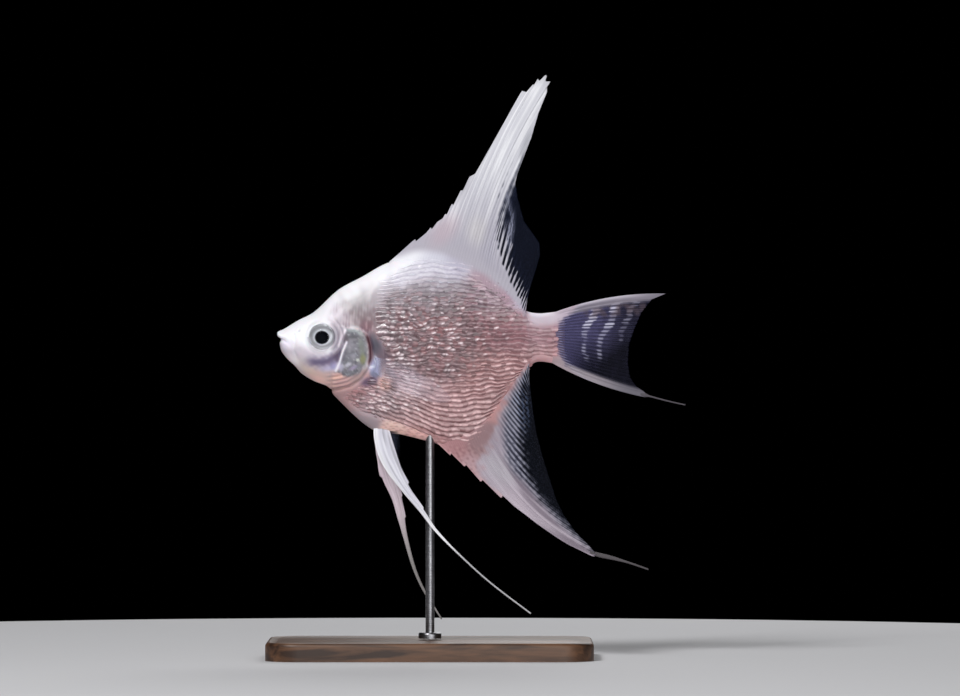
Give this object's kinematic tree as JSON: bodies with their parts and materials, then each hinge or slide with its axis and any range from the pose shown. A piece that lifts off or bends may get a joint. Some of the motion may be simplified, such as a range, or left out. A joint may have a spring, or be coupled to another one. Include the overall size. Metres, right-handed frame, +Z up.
{
  "type": "freshwater angelfish display model",
  "caption": "Life-size still model of a freshwater angelfish with pearly skin and long trailing fins, held by a rod on a flat wooden base.",
  "frame": {"origin": "centre of the stand base's underside, on the surface that the model stands on", "axes": "+Z up, -X towards the fish's snout, +X towards its tail, -Y out of its left flank"},
  "size_m": [0.1131, 0.054, 0.1575],
  "materials": {
    "skin": "wet pearl-white skin, tinted lilac on the cheeks",
    "scales": "wet rosy taupe scales with pearly edges in wavy rows",
    "gill_plate": "silvery grey-violet bone under clear skin",
    "eye": "clear cornea over a silver ring and a black pupil",
    "fin": "milky lilac rays with darker, half-clear web between them",
    "clear_fin": "clear web with pale rays",
    "stand_wood": "dark walnut, satin oil",
    "stand_metal": "fine brushed"
  },
  "bodies": {
    "root": {"head": "skin", "lower_jaw": "skin", "gill_cover_left": "gill_plate", "gill_cover_right": "gill_plate", "eye_left": "eye", "eye_right": "eye", "trunk": "scales", "tail_stalk": "scales", "dorsal_fin": "fin", "anal_fin": "fin", "anal_streamer": "fin", "tail_fin": "fin", "tail_streamer": "fin", "pelvic_fin_left": "fin", "pelvic_fin_right": "fin", "pelvic_streamer_left": "fin", "pelvic_streamer_right": "fin", "pectoral_fin_left": "clear_fin", "pectoral_fin_right": "clear_fin", "stand_base": "stand_wood", "stand_collar": "stand_metal", "stand_rod": "stand_metal"}
  },
  "joints": []
}
